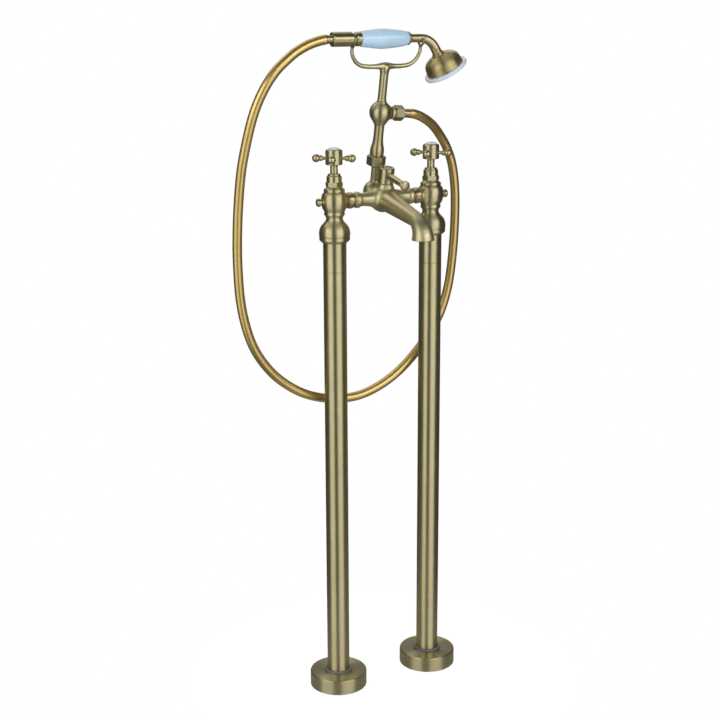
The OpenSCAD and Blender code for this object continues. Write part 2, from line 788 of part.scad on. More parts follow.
// Riser
module riser_nut() {
  color(brass) at_riser() difference() {
    rotate([0, 0, 8]) hexagon(riser_nut_hex, riser_nut_z, riser_nut_top, 2.2);
    rod(riser_thread_r + fit, riser_nut_z - eps, riser_flange_z + riser_flange + fit);
    rod(riser_lip_r + fit, riser_nut_z, riser_nut_top + eps);
  }
}

module riser_washer() {
  color(rubber) at_riser() difference() {
    rod(riser_thread_r - 0.2, riser_thread_top, riser_flange_z);
    rod(riser_bore_r, riser_thread_top - eps, riser_flange_z + eps);
  }
}

module riser_tube() {
  flare_z = riser_nut_top + 0.4;
  flare_r = 10.6;
  waist_r = 7.6;
  ball_foot = riser_ball_height - riser_ball_r;
  lower = concat(
    [[riser_thread_r, riser_flange_z], [riser_thread_r, riser_flange_z + riser_flange],
      [riser_lip_r, riser_flange_z + riser_flange], [riser_lip_r, flare_z], [flare_r - 0.7, flare_z]],
    curve([
      [flare_r - 0.3, flare_z + 0.5], [flare_r + 0.1, flare_z + 5], [flare_r - 0.3, flare_z + 11],
      [flare_r - 2, flare_z + 18], [waist_r, flare_z + 27], [waist_r, ball_foot - 6],
      [waist_r + 0.7, ball_foot - 0.6], [waist_r + 3.6, ball_foot + 2.6]
    ], 4)
  );
  color(brass) difference() {
    union() {
      at_riser() turned(lower);
      at_riser() translate([0, 0, riser_ball_height]) sphere(r = riser_ball_r, $fn = 96);
      at_riser() turned(curve([
        [stem_r + 5, stem_foot - 3.4], [stem_r + 2.2, stem_foot - 0.6], [stem_r + 0.7, stem_foot + 2.6]
      ], 3));
      at_outlet() turned(concat(
        curve([
          [outlet_collar_r + 2.6, riser_ball_r - 5], [outlet_collar_r - 0.4, riser_ball_r - 1],
          [outlet_collar_r - 1, outlet_collar_x - 4.4]
        ], 3),
        [[outlet_collar_r, outlet_collar_x - 4], [outlet_collar_r, outlet_collar_x - 0.5],
          [outlet_collar_r - 0.5, outlet_collar_x], [outlet_thread_r, outlet_collar_x],
          [outlet_thread_r, outlet_thread_x]]
      ));
    }
    at_riser() rod(riser_bore_r, riser_flange_z - eps, riser_ball_height);
    at_riser() rod(stem_spigot_r, stem_foot + 2.6 - stem_spigot, stem_foot + 3);
    at_outlet() rod(riser_bore_r, 0, outlet_thread_x + eps);
  }
}

// Cradle: one stem, two arms that sweep up and a fork on each
module cradle() {
  foot = stem_foot + 2.6;
  way = [
    [0, 0.6], [6, 0.5], [12, 0.2], [18, 0.1], [26, 0.2], [38.6, 1.6], [46.8, 5.8], [52, 11], [55.4, 17.4],
    [fork_offset + 0.2, 22.6], [fork_offset, cradle_rise - fork_drop]
  ];
  thick = [5.9, 5.2, 4.2, 3.7, 3.5, 3.3, 3.1, 2.9, 2.7, 2.6, 2.4];
  half = curve([for (i = [0 : len(way) - 1]) [way[i][0], thick[i], way[i][1]]], 3);
  path = concat(
    [for (i = [len(half) - 1 : -1 : 1]) [-half[i][0], half[i][1], half[i][2]]],
    half
  );
  line = [for (p = path) [p[0], 0, p[2]]];
  color(brass) at_riser() union() {
    turned([[stem_spigot_r - fit, foot - stem_spigot + 0.5], [stem_spigot_r - fit, foot + eps]]);
    turned(concat(
      [[stem_r + 0.7, foot]],
      curve([
        [stem_r, foot + 3.4], [stem_r, cradle_height - 15], [stem_r + 0.3, cradle_height - 9],
        [stem_r + 1.2, cradle_height - 4.6], [stem_r + 1, cradle_height - 0.4],
        [stem_r - 1.2, cradle_height + 3.6], [0.6, cradle_height + 6.4]
      ], 3)
    ));
    translate([0, 0, cradle_height]) skin([
      for (i = [0 : len(line) - 1])
        let (h = heading(line, i)) ring(line[i], [0, 1, 0], [-h[2], 0, h[0]], path[i][1], 16)
    ]);
    for (side = [left, right]) translate([side * fork_offset, 0, handset_height]) fork();
  }
}

function root_swell(drop) = 1 + max(0, min(0.2, -drop - 1.22));   // thicker below the tube only

module fork() {
  side = curve([
    [0, -1.42], [0.43, -1.16], [0.78, -0.75], [0.985, -0.28], [1.06, 0.06], [1.1, 0.26]
  ], 3);
  last = len(side) - 1;
  tip = [[0.05, 0.94], [0.11, 0.75], [0.15, 0.4]];
  tine = [for (t = tip) [1.1 * fork_r, (side[last][1] + t[0]) * fork_r, t[1]]];
  front = concat([for (p = side) [p[0] * fork_r, p[1] * fork_r, root_swell(p[1])]], tine);
  line = concat([for (i = [len(front) - 1 : -1 : 1]) [-front[i][0], front[i][1], front[i][2]]], front);
  places = [for (p = line) [0, p[0], p[1]]];
  skin([
    for (i = [0 : len(line) - 1])
      let (h = heading(places, i))
        ring(places[i], [1, 0, 0], [0, h[2], -h[1]], tine_r * line[i][2], 12)
  ]);
}

// Hose and its ends
module outlet_washer() {
  color(rubber) at_outlet() difference() {
    rod(outlet_thread_r - 0.2, outlet_thread_x, outlet_thread_x + washer_thickness);
    rod(riser_bore_r, outlet_thread_x - eps, outlet_thread_x + washer_thickness + eps);
  }
}

module outlet_hose_nut() {
  lip = outlet_thread_x + 2 * washer_thickness + fit;
  color(brass) at_outlet() difference() {
    rotate([0, 0, outlet_nut_turn]) hexagon(outlet_nut_hex, outlet_nut_x, outlet_nut_end, 2.6);
    rod(outlet_thread_r + fit, outlet_nut_x - eps, lip);
    rod(outlet_lip_r + fit, outlet_nut_x, outlet_nut_end + eps);
  }
}

module outlet_ferrule() {
  flange_z = outlet_thread_x + washer_thickness;
  from = outlet_nut_end + play;
  color(brass) at_outlet() difference() {
    turned([
      [outlet_thread_r - 0.2, flange_z], [outlet_thread_r - 0.2, flange_z + washer_thickness],
      [outlet_lip_r, flange_z + washer_thickness], [outlet_lip_r, from], [ferrule_r - 0.4, from],
      [ferrule_r, from + 0.6], [ferrule_r, outlet_ferrule_end - 0.6], [ferrule_r - 0.5, outlet_ferrule_end]
    ]);
    rod(riser_bore_r, flange_z - eps, outlet_ferrule_end - 2);
  }
}

module shower_hose() {
  route = concat([hose_start], hose_way, [hose_end]);
  line = curve(route, hose_steps);
  last = len(line) - 1;
  r = hose_d / 2;
  headings = [for (i = [0 : last])
    i == 0 ? [-1, 0, 0] : i == last ? -outlet_way : heading(line, i)];
  color(hose_gold) skin([
    for (i = [0 : last])
      let (h = headings[i], u = unit(cross(h, [0, 1, 0])), v = cross(h, u)) ring(line[i], u, v, r, hose_sides)
  ]);
}

module handset_ferrule() {
  color(brass) at_handset() turned([
    [ferrule_r - 0.5, handset_ferrule_start], [ferrule_r, handset_ferrule_start + 0.8],
    [ferrule_r, handset_ferrule_start + 3], [ferrule_r - 0.6, handset_ferrule_start + 3.6],
    [ferrule_r - 0.6, sleeve_start], [outlet_lip_r, sleeve_start],
    [outlet_lip_r, sleeve_start + 4], [tube_r + 1.4, sleeve_start + 4], [tube_r + 1.4, sleeve_start + 6]
  ]);
}

module handset_hose_nut() {
  edge = 0.9;
  color(brass) at_handset() difference() {
    turned([
      [sleeve_r - edge, sleeve_start + fit], [sleeve_r, sleeve_start + edge],
      [sleeve_r, sleeve_end - edge], [sleeve_r - edge, sleeve_end]
    ]);
    rod(outlet_lip_r + fit, sleeve_start - eps, sleeve_end);
    rod(tube_r + 1.4 + fit, sleeve_start + 4, tube_start + fit);
    rod(tube_r + fit, tube_start, sleeve_end + eps);
  }
}

// Handset
module grip_tail_ring() {
  color(brass) at_handset() difference() {
    turned([
      [sleeve_r - 3.2, tail_ring_start], [sleeve_r - 0.6, tail_ring_start + 2.2],
      [sleeve_r - 0.1, tail_ring_start + 3.6], [sleeve_r - 0.4, grip_start]
    ]);
    rod(tube_r + fit, tail_ring_start - eps, grip_start + eps);
  }
}

module ceramic_grip() {
  end_r = 10.3;
  swell = curve([
    [end_r, 0], [end_r + 1.2, 3.4], [grip_r - 1.9, grip_length * 0.2], [grip_r, grip_length * 0.42],
    [grip_r - 0.9, grip_length * 0.66], [end_r + 1.6, grip_length - 11], [end_r + 0.2, grip_length - 4],
    [end_r - 1.4, grip_length - 0.6], [end_r - 2, grip_length]
  ], 4);
  color(ceramic) at_handset() difference() {
    translate([0, 0, grip_start]) turned(swell);
    rod(tube_r + fit, grip_start - eps, grip_end + eps);
  }
}

module grip_front_ring() {
  color(brass) at_handset() difference() {
    turned([
      [9.4, grip_end + fit], [9.8, grip_end + 0.6], [9.4, grip_end + 1.6], [tube_r + 1.4, grip_end + 3.4],
      [tube_r + 0.5, grip_end + front_ring_length]
    ]);
    rod(tube_r + fit, grip_end - eps, grip_end + front_ring_length + eps);
  }
}

module handset_tube() {
  color(brass) at_handset() difference() {
    rod(tube_r, tube_start + 0.1, neck_start);
    rod(tube_bore_r, tube_start, neck_start + eps);
  }
}

module handset_neck() {
  sides = 32;
  rings = [for (k = [0 : 12]) neck_turn * k / 12];
  color(brass) difference() {
    skin([
      for (a = rings)
        let (
          centre = [neck_start + neck_bend * sin(a), handset_y, handset_z - neck_bend * (1 - cos(a))],
          r = tube_r + (neck_end_d / 2 - tube_r) * a / neck_turn
        ) ring(centre, [-sin(a), 0, -cos(a)], [0, 1, 0], r, sides)
    ]);
    translate([neck_start, handset_y, handset_z - neck_bend]) rotate([90, 0, 0])
      rotate([0, 0, 88 - neck_turn]) rotate_extrude(angle = neck_turn + 4, $fn = 96)
        translate([neck_bend, 0]) circle(r = tube_bore_r, $fn = 64);
  }
}

module rose_bell() {
  neck_r = neck_end_d / 2;
  neck = [
    [neck_r, -neck_straight], [neck_r, -2.6], [neck_r + 1.8, -1.8], [neck_r + 1.8, 0.2], [neck_r + 1.3, 0.7]
  ];
  outer = curve([
    [neck_r + 2.2, 0.9], [neck_r + 5.6, 1.7], [bell_r - 10.3, 3.8], [bell_r - 5.2, 6.8],
    [bell_r - 2.2, 10.6], [bell_r - 1, 15], [bell_r - 0.3, 20], [bell_r, bell_height]
  ], 3);
  seat = bell_height - 3.4;
  inner = concat(curve([
    [bell_r - 14, 5.8], [bell_r - 7, 8.6], [bell_r - 3.6, 12.4], [bell_r - bell_wall - 0.9, 16],
    [bell_r - bell_wall, seat]
  ], 3), [[bell_r - bell_wall, bell_height + eps]]);
  color(brass) at_rose() difference() {
    turned(concat(neck, outer));
    turned(inner);
    rod(tube_bore_r, -neck_straight - eps, 8);
  }
}

module rose_rim() {
  edge = 1.8;
  top = bell_height;
  low = bell_height + rim_height;
  color(ceramic) at_rose() difference() {
    turned(concat(
      [[bell_r - bell_wall - fit, top - 3], [bell_r - bell_wall - fit, top], [rim_r - edge, top]],
      [for (a = [-60 : 30 : 60]) [rim_r - edge + edge * cos(a), (top + low) / 2 + (rim_height / 2) * sin(a)]],
      [[rim_r - edge, low], [bell_r + 0.4, low]]
    ));
    rod(bell_r - bell_wall - 1.8, top - 3 - eps, low);
    rod(bell_r - 0.6, low - faceplate_thickness - 1, low + eps);
  }
}

module rose_faceplate() {
  low = bell_height + rim_height - 1;
  color(disc_grey) at_rose() difference() {
    turned([
      [bell_r - 0.6 - fit, low - faceplate_thickness], [bell_r - 0.6 - fit, low - 0.4], [bell_r - 1.2, low]
    ]);
    for (row = [0 : len(nozzle_rows) - 1], k = [0 : nozzle_rows[row] - 1])
      rotate([0, 0, 360 * k / nozzle_rows[row]]) translate([row * nozzle_step, 0, 0])
        rod(nozzle_r, low - faceplate_thickness - eps, low + eps);
  }
}

floor_plate(left);  // left_floor_plate
floor_plate(right);  // right_floor_plate
floor_cover(left);  // left_floor_cover
floor_cover(right);  // right_floor_cover
cover_ring(left);  // left_cover_ring
cover_ring(right);  // right_cover_ring
leg_tube(left);  // left_leg_tube
leg_tube(right);  // right_leg_tube
leg_socket(left);  // left_leg_socket
leg_socket(right);  // right_leg_socket
leg_crown(left);  // left_leg_crown
leg_crown(right);  // right_leg_crown
supply_pipe(left);  // left_supply_pipe
supply_pipe(right);  // right_supply_pipe
valve_body(left);  // hot_valve_body
valve_body(right);  // cold_valve_body
side_finial(left);  // hot_side_finial
side_finial(right);  // cold_side_finial
union_collar(left);  // hot_union_collar
union_collar(right);  // cold_union_collar
bonnet(left);  // hot_bonnet
bonnet(right);  // cold_bonnet
fixed_disc(left);  // hot_fixed_disc
fixed_disc(right);  // cold_fixed_disc
moving_disc(left, hot_turn);  // hot_moving_disc
moving_disc(right, cold_turn);  // cold_moving_disc
spindle(left);  // hot_spindle
spindle(right);  // cold_spindle
handle_hub(left, hot_turn);  // hot_handle_hub
handle_hub(right, cold_turn);  // cold_handle_hub
handle_arms(left, hot_turn);  // hot_handle_arms
handle_arms(right, cold_turn);  // cold_handle_arms
handle_screw(left, hot_turn);  // hot_handle_screw
handle_screw(right, cold_turn);  // cold_handle_screw
index_cap(left, hot_turn);  // hot_index_cap
index_cap(right, cold_turn);  // cold_index_cap
mixer_body();
spout_aerator();
diverter_head();
diverter_spindle();
diverter_lever();
diverter_knob();
riser_nut();
riser_washer();
riser_tube();
cradle();
outlet_washer();
outlet_hose_nut();
outlet_ferrule();
shower_hose();
handset_ferrule();
handset_hose_nut();
grip_tail_ring();
ceramic_grip();
grip_front_ring();
handset_tube();
handset_neck();
rose_bell();
rose_rim();
rose_faceplate();
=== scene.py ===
import math

import bpy
import numpy as np
from mathutils import Matrix, Vector


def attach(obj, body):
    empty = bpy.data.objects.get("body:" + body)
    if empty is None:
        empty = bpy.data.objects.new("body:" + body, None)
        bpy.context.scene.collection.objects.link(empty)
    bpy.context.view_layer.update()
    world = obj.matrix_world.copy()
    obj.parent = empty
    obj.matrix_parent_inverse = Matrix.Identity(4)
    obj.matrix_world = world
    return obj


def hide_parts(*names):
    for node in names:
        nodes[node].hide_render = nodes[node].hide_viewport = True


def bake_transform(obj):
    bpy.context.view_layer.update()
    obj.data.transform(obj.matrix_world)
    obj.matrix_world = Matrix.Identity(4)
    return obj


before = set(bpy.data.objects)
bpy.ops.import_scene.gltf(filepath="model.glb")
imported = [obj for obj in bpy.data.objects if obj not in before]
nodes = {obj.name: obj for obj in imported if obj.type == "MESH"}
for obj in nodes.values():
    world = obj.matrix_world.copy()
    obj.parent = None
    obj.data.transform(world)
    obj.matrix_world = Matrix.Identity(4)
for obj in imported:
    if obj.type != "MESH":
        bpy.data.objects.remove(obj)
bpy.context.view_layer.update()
mm = 0.001
print("frame: nodes", len(nodes))

cameraView = {
    "place": (-0.9797, -1.7816, 1.0524),
    "yaw": 27.789,      # degrees, turned from +Y toward +X
    "pitch": 14.474,    # degrees, looking down
    "roll": -0.26,
    "lens": 67.82,
    "sensor": 36.0,
    "farthest": 60.0,
}


def cameraAxes(view):
    yaw, pitch, roll = (math.radians(view[k]) for k in ("yaw", "pitch", "roll"))
    forward = Vector((math.sin(yaw) * math.cos(pitch), math.cos(yaw) * math.cos(pitch), -math.sin(pitch)))
    level = Vector((math.cos(yaw), -math.sin(yaw), 0.0))
    rise = level.cross(forward)
    right = level * math.cos(roll) + rise * math.sin(roll)
    up = rise * math.cos(roll) - level * math.sin(roll)
    return right, up, forward


def addCamera(view):
    right, up, forward = cameraAxes(view)
    lens = bpy.data.cameras.new("photoCamera")
    lens.lens = view["lens"]
    lens.sensor_width = view["sensor"]
    lens.clip_end = view["farthest"]
    camera = bpy.data.objects.new("photoCamera", lens)
    bpy.context.scene.collection.objects.link(camera)
    columns = Matrix((right, up, -forward)).transposed().to_4x4()
    camera.matrix_world = Matrix.Translation(view["place"]) @ columns
    bpy.context.scene.camera = camera


addCamera(cameraView)
print("camera: placed")

hoseShape = {
    "diameter": 14.2 * mm,
    "sides": 40,
    "steps": 8,
    "leaves": (-0.9976, -0.0136, 0.0684),   # heading back into the outlet
    "arrives": (1.0, 0.0, 0.0),
    "follows": (-1.0, 0.0, 0.12),           # way along which it passes from the stand to the handset
    "route": [                              # mm, from the outlet to the handset
        (49.93, 8.96, 901.59), (58.5, 9.5, 900.3), (74, 12.5, 894.8), (95.5, 19.5, 882.6), (115, 28, 865),
        (132, 34, 843), (143.5, 37, 816), (149.5, 38, 778), (150, 38, 730), (146.5, 38, 674.5),
        (139, 38, 624.5), (124.5, 38, 582), (101, 38, 546), (72, 38, 514.5), (42, 38, 490.5),
        (10, 38, 474), (-23.5, 38, 464.5), (-57, 38, 464), (-90, 38, 470), (-121.5, 38, 482),
        (-151.5, 38, 501.5), (-177, 37, 526), (-199, 35.5, 558), (-213.5, 33, 594), (-223.5, 30, 640),
        (-228, 26, 698), (-228.5, 22, 745), (-227, 18, 788), (-224, 12, 832), (-218, 6, 870),
        (-211.4, 0, 902.1), (-202.5, -4, 928.2), (-190.6, -8, 951.9), (-176.6, -10, 970.5),
        (-161.1, -11.5, 984.6), (-146, -12, 995.7), (-128.2, -12.5, 1004.6), (-111.5, -12.5, 1009.8),
        (-100.35, -12.89, 1011.93),
    ],
    "pieces": ("outlet_hose_nut", "outlet_washer", "outlet_ferrule", "handset_ferrule", "handset_hose_nut"),
}


def splineThrough(points, steps):
    p = np.array(points, float)
    last = len(p) - 1
    line = []
    for i in range(last):
        a, b, c, d = p[max(0, i - 1)], p[i], p[i + 1], p[min(last, i + 2)]
        for k in range(steps):
            t = k / steps
            line.append(0.5 * (2 * b + (c - a) * t + (2 * a - 5 * b + 4 * c - d) * t * t
                               + (3 * b - a - 3 * c + d) * t ** 3))
    line.append(p[last])
    return np.array(line)


def smoothFaces(mesh):
    mesh.update()
    mesh.polygons.foreach_set("use_smooth", [True] * len(mesh.polygons))


def newMesh(name, points, faces):
    mesh = bpy.data.meshes.new(name)
    mesh.from_pydata([tuple(p) for p in points], [], faces)
    smoothFaces(mesh)
    piece = bpy.data.objects.new(name, mesh)
    bpy.context.scene.collection.objects.link(piece)
    return piece


def tubeAlong(name, line, headings, radius, sides):
    side = Vector(headings[0]).cross(Vector((0, 1, 0))).normalized()
    points, faces = [], []
    for place, way in zip(line, headings):
        way = Vector(way)
        side = (side - way * side.dot(way)).normalized()
        over = way.cross(side)
        for k in range(sides):
            turn = 2 * math.pi * k / sides
            points.append(Vector(place) + radius * (math.cos(turn) * side + math.sin(turn) * over))
    rings = len(line)
    for i in range(rings - 1):
        for k in range(sides):
            a, b = i * sides + k, i * sides + (k + 1) % sides
            faces.append((a, b, b + sides, a + sides))
    faces.append(tuple(reversed(range(sides))))
    faces.append(tuple(range((rings - 1) * sides, rings * sides)))
    return newMesh(name, points, faces)


def addHose(shape):
    line = splineThrough(shape["route"], shape["steps"]) * mm
    ways = np.gradient(line, axis=0)
    ways /= np.linalg.norm(ways, axis=1)[:, None]
    ways[0] = -np.array(shape["leaves"])
    ways[-1] = np.array(shape["arrives"])
    hose = tubeAlong("showerHose", line, ways, shape["diameter"] / 2, shape["sides"])
    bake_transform(hose)
    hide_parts("shower_hose")
    return hose


hose = addHose(hoseShape)

bodyFrame = {       # the casting tips forward, and the spout, the tower and the riser with it
    "tilt": 11.2,
    "height": 779 * mm,
}
roseTilt = 31.0     # degrees from straight down, away from the grip
castSkins = {       # each pair is where a fillet's share starts and stops changing
    "mixer_body": {
        "voxel": 0.8 * mm, "rounds": 320,
        "reach": (34 * mm, 44 * mm), "seam": (18 * mm, 21 * mm), "arm": (26 * mm, 31 * mm), "back": 20 * mm,
    },
    "riser_tube": {
        "voxel": 0.6 * mm, "rounds": 120,
        "ball": 122 * mm, "reach": (26 * mm, 34 * mm), "outlet": (19 * mm, 21 * mm),
    },
    "cradle": {
        "voxel": 0.55 * mm, "rounds": 200,
        "stemTop": (158.5 * mm, 166.5 * mm), "arm": (20 * mm, 32 * mm), "least": 0.12,
    },
}
casting = {"settle": 3, "settleStep": 0.5, "slide": 0.3, "fill": 0.55, "freshNormals": 8}


def softStep(value, low, high):
    t = np.clip((value - low) / (high - low), 0, 1)
    return t * t * (3 - 2 * t)


def inBody(points):
    tilt = math.radians(bodyFrame["tilt"])
    p = points - np.array((0, 0, bodyFrame["height"]))
    along = p[:, 1] * math.cos(tilt) + p[:, 2] * math.sin(tilt)
    return p[:, 0], along, p[:, 2] * math.cos(tilt) - p[:, 1] * math.sin(tilt)


def filletWeights(node, look, points):
    x, y, z = inBody(points)
    if node == "mixer_body":
        near = 1 - softStep(np.sqrt(x * x + y * y + z * z), *look["reach"])
        seam = 1 - softStep(z, *look["seam"])
        return near * np.where(y < look["back"], seam, 1) * (1 - softStep(np.abs(x), *look["arm"]))
    if node == "riser_tube":
        near = 1 - softStep(np.abs(z - look["ball"]), *look["reach"])
        return near * (1 - softStep(x, *look["outlet"]))
    top = softStep(z, *look["stemTop"])
    return look["least"] + (1 - look["least"]) * top * (1 - softStep(np.abs(x), *look["arm"]))


def vertexNormals(points, quads):
    corners = points[quads]
    facing = np.cross(corners[:, 2] - corners[:, 0], corners[:, 3] - corners[:, 1])
    total = np.stack([sum(np.bincount(quads[:, c], facing[:, k], len(points)) for c in range(4))
                      for k in range(3)], axis=1)
    return total / np.maximum(np.linalg.norm(total, axis=1), 1e-12)[:, None]


def castSkin(node, look):
    piece = bpy.data.objects.new(node + "Cast", nodes[node].data.copy())
    bpy.context.scene.collection.objects.link(piece)
    remesh = piece.modifiers.new("remesh", "REMESH")
    remesh.mode = "VOXEL"
    remesh.voxel_size = look["voxel"]
    bpy.context.view_layer.update()
    mesh = bpy.data.meshes.new_from_object(piece.evaluated_get(bpy.context.evaluated_depsgraph_get()))
    piece.modifiers.clear()
    piece.data = mesh
    count = len(mesh.vertices)
    points = np.empty(count * 3)
    mesh.vertices.foreach_get("co", points)
    points = points.reshape(-1, 3)
    ends = np.empty(len(mesh.edges) * 2, dtype=np.int64)
    mesh.edges.foreach_get("vertices", ends)
    quads = np.empty(len(mesh.loops), dtype=np.int64)
    mesh.loops.foreach_get("vertex_index", quads)
    quads = quads.reshape(-1, 4)
    a, b = ends[0::2], ends[1::2]
    degree = (np.bincount(a, minlength=count) + np.bincount(b, minlength=count))[:, None]

    def offsets():
        mean = np.stack([np.bincount(a, points[b, k], count) + np.bincount(b, points[a, k], count)
                         for k in range(3)], axis=1) / degree
        return mean - points

    for _ in range(casting["settle"]):
        points += casting["settleStep"] * offsets()
    weight = filletWeights(node, look, points)[:, None]
    for turn in range(look["rounds"]):     # hollow corners fill up and round corners stay
        if turn % casting["freshNormals"] == 0:
            normals = vertexNormals(points, quads)
        step = offsets()
        rise = (step * normals).sum(axis=1)[:, None]
        slide = casting["slide"] * (step - rise * normals)
        points += weight * (slide + casting["fill"] * np.maximum(rise, 0) * normals)
    mesh.vertices.foreach_set("co", points.ravel())
    smoothFaces(mesh)
    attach(piece, "stand")
    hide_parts(node)
    print("cast skin:", node, count)
    return piece


castPieces = {node: castSkin(node, look) for node, look in castSkins.items()}

# the grain and the cloudy tarnish are the surface's own; the reach, samples and range for hollows set painted
# shade, an ambient occlusion that darkens hollows, creases and gaps between parts
tarnishAndShadeLook = {
    "grainDetail": 3.0,
    "cloudScale": 34.0, "cloudDetail": 5.0, "cloudRoughness": 0.6, "cloudRange": (0.35, 0.7),
    "hollowShadeReach": 3 * mm, "hollowShadeSamples": 6, "hollowShadeRange": (0.35, 0.85),
}


def tarnishAndShadeGroup(look):
    parts = bpy.data.node_groups.new("tarnishAndShade", "ShaderNodeTree")
    face = parts.interface
    face.new_socket("Coordinates", in_out="INPUT", socket_type="NodeSocketVector")
    face.new_socket("Grain Scale", in_out="INPUT", socket_type="NodeSocketVector")
    for name in ("Grain", "Tarnish", "HollowShade"):
        face.new_socket(name, in_out="OUTPUT", socket_type="NodeSocketFloat")
    n, link = parts.nodes, parts.links.new
    inlet, outlet = n.new("NodeGroupInput"), n.new("NodeGroupOutput")
    stretch = n.new("ShaderNodeVectorMath")
    stretch.operation = "MULTIPLY"
    link(inlet.outputs["Coordinates"], stretch.inputs[0])
    link(inlet.outputs["Grain Scale"], stretch.inputs[1])
    grain = n.new("ShaderNodeTexNoise")
    grain.inputs["Scale"].default_value = 1.0
    grain.inputs["Detail"].default_value = look["grainDetail"]
    link(stretch.outputs[0], grain.inputs["Vector"])
    link(grain.outputs[0], outlet.inputs["Grain"])
    cloud = n.new("ShaderNodeTexNoise")
    cloud.inputs["Scale"].default_value = look["cloudScale"]
    cloud.inputs["Detail"].default_value = look["cloudDetail"]
    cloud.inputs["Roughness"].default_value = look["cloudRoughness"]
    link(inlet.outputs["Coordinates"], cloud.inputs["Vector"])
    spread = n.new("ShaderNodeMapRange")
    spread.inputs["From Min"].default_value, spread.inputs["From Max"].default_value = look["cloudRange"]
    link(cloud.outputs[0], spread.inputs["Value"])
    link(spread.outputs[0], outlet.inputs["Tarnish"])
    # painted shade: ambient occlusion gives a mask that is high in hollows, creases and between parts
    hollow = n.new("ShaderNodeAmbientOcclusion")
    hollow.samples = look["hollowShadeSamples"]
    hollow.inputs["Distance"].default_value = look["hollowShadeReach"]
    close = n.new("ShaderNodeMapRange")
    close.inputs["From Min"].default_value, close.inputs["From Max"].default_value = look["hollowShadeRange"]
    close.inputs["To Min"].default_value, close.inputs["To Max"].default_value = 1.0, 0.0
    link(hollow.outputs["AO"], close.inputs["Value"])
    link(close.outputs[0], outlet.inputs["HollowShade"])
    return parts


tarnishAndShade = tarnishAndShadeGroup(tarnishAndShadeLook)


def mixColour(tree, factor, first, second):
    node = tree.nodes.new("ShaderNodeMix")
    node.data_type = "RGBA"
    tree.links.new(factor, node.inputs[0])
    for slot, value in ((6, first), (7, second)):
        if isinstance(value, tuple):
            node.inputs[slot].default_value = (*value, 1.0)
        else:
            tree.links.new(value, node.inputs[slot])
    return node.outputs[2]


def rangeOf(tree, value, low, high):
    node = tree.nodes.new("ShaderNodeMapRange")
    node.inputs["To Min"].default_value = low
    node.inputs["To Max"].default_value = high
    tree.links.new(value, node.inputs["Value"])
    return node.outputs[0]


surface = {
    "coatRoughness": 0.1,
    "latheSheen": 0.88,
    "latheTurn": 0.25,      # in full turns, across the marks of the lathe
    "endNudge": (0.001, 0.002, 0.0),
    "edgeSamples": 4,
    "grainDepth": 0.05 * mm,
}


def latheTangent(tree, axis):
    if isinstance(axis, str):
        around = tree.nodes.new("ShaderNodeTangent")
        around.direction_type, around.axis = "RADIAL", axis
        return around.outputs[0]
    facing = tree.nodes.new("ShaderNodeNewGeometry")
    aside = tree.nodes.new("ShaderNodeVectorMath")      # so that faces across the axis have a tangent too
    aside.inputs[1].default_value = surface["endNudge"]
    tree.links.new(facing.outputs["Normal"], aside.inputs[0])
    around = tree.nodes.new("ShaderNodeVectorMath")
    around.operation = "CROSS_PRODUCT"
    around.inputs[0].default_value = axis
    tree.links.new(aside.outputs[0], around.inputs[1])
    return around.outputs[0]


def finishMaterial(name, look):
    material = bpy.data.materials.new(name)
    material.use_nodes = True
    tree = material.node_tree
    shader = tree.nodes["Principled BSDF"]
    place = tree.nodes.new("ShaderNodeTexCoord")
    grainTarnishAndShade = tree.nodes.new("ShaderNodeGroup")
    grainTarnishAndShade.node_tree = tarnishAndShade
    grainTarnishAndShade.inputs["Grain Scale"].default_value = look["grain"]
    tree.links.new(place.outputs["Object"], grainTarnishAndShade.inputs["Coordinates"])
    tarnish = rangeOf(tree, grainTarnishAndShade.outputs["Tarnish"], 0.0, look["tarnish"])
    # the tarnish mixes in the dull tone at random; the hollow mask then darkens the colour towards a dark
    # colour, which is painted shade in hollows and creases
    hollowShade = rangeOf(tree, grainTarnishAndShade.outputs["HollowShade"], 0.0, look["hollowShade"])
    tone = mixColour(tree, hollowShade, mixColour(tree, tarnish, look["colour"], look["dull"]), look["hollowShadeColour"])
    tree.links.new(tone, shader.inputs["Base Color"])
    low, high = look["roughness"]
    tree.links.new(rangeOf(tree, grainTarnishAndShade.outputs["Grain"], low, high), shader.inputs["Roughness"])
    shader.inputs["Metallic"].default_value = look["metallic"]
    shader.inputs["Coat Weight"].default_value = look.get("coat", 0.0)
    shader.inputs["Coat Roughness"].default_value = surface["coatRoughness"]
    if "lathe" in look:     # turned on a lathe, so the sheen runs along the axis
        tree.links.new(latheTangent(tree, look["lathe"]), shader.inputs["Tangent"])
        shader.inputs["Anisotropic"].default_value = surface["latheSheen"]
        shader.inputs["Anisotropic Rotation"].default_value = surface["latheTurn"]
    edge = tree.nodes.new("ShaderNodeBevel")
    edge.samples = surface["edgeSamples"]
    edge.inputs["Radius"].default_value = look["edge"]
    bump = tree.nodes.new("ShaderNodeBump")
    bump.inputs["Strength"].default_value = look["bump"]
    bump.inputs["Distance"].default_value = surface["grainDepth"]
    tree.links.new(edge.outputs[0], bump.inputs["Normal"])
    tree.links.new(grainTarnishAndShade.outputs["Grain"], bump.inputs["Height"])
    tree.links.new(bump.outputs[0], shader.inputs["Normal"])
    return material


